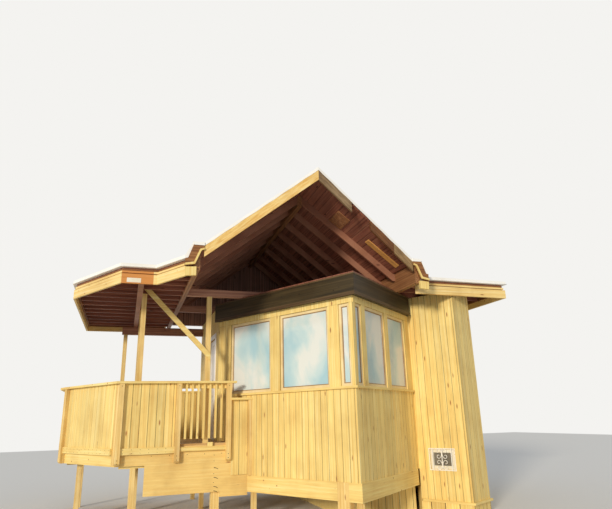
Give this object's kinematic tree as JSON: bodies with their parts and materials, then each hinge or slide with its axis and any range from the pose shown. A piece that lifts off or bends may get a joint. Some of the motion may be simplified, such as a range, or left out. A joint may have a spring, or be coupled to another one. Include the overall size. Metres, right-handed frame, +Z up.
{
  "type": "timber tree house",
  "caption": "Timber tree house with a raised glazed corner room under a prowed gable, low wing roofs and a many-sided railed deck.",
  "frame": {"origin": "on the ground, in the middle of the building's box in plan, under the gable's ridge", "axes": "+X to the right along the front, the longest way; +Y towards the back; +Z up, the shortest way"},
  "size_m": [8.2556, 6.3085, 5.84],
  "materials": {
    "fresh_pine": "satin",
    "plywood": "matte",
    "stained_board": "matte",
    "brown_board": "matte",
    "dark_board": "satin",
    "grey_board": "matte",
    "white_sheet": "satin",
    "white_paint": "satin",
    "clear_glass": "gloss",
    "white_iron": "satin"
  },
  "bodies": {
    "root": {"back_gable": "stained_board", "back_wall": "fresh_pine", "baluster_rail": "fresh_pine", "balusters": "fresh_pine", "deck_beams": "fresh_pine", "deck_floor": "fresh_pine", "deck_rims": "fresh_pine", "door": "white_paint", "eave_beams": "stained_board", "floor_joists": "fresh_pine", "foot_rails": "fresh_pine", "front_panels": "fresh_pine", "front_skirt": "plywood", "front_wall": "fresh_pine", "gable_rafters": "stained_board", "gable_skin": "white_sheet", "ground_posts": "fresh_pine", "handrails": "fresh_pine", "header": "dark_board", "knee_brace": "fresh_pine", "left_barge_boards": "fresh_pine", "left_face_wall": "fresh_pine", "left_gable_boards": "stained_board", "left_panel": "fresh_pine", "left_wall": "fresh_pine", "lower_fascias": "fresh_pine", "lower_side_wall": "fresh_pine", "rail_posts": "fresh_pine", "ridge_beam": "stained_board", "right_barge_boards": "grey_board", "right_face_wall": "fresh_pine", "right_gable_boards": "stained_board", "right_wall": "fresh_pine", "roof_beams": "stained_board", "roof_posts": "fresh_pine", "room_floor": "fresh_pine", "side_panels": "fresh_pine", "upper_fascias": "brown_board", "wall_sills": "fresh_pine", "window_frames": "white_paint", "window_glass": "clear_glass", "window_grille": "white_iron", "wing_boards": "stained_board", "wing_joists": "stained_board", "wing_roofs": "white_sheet"}
  },
  "joints": []
}
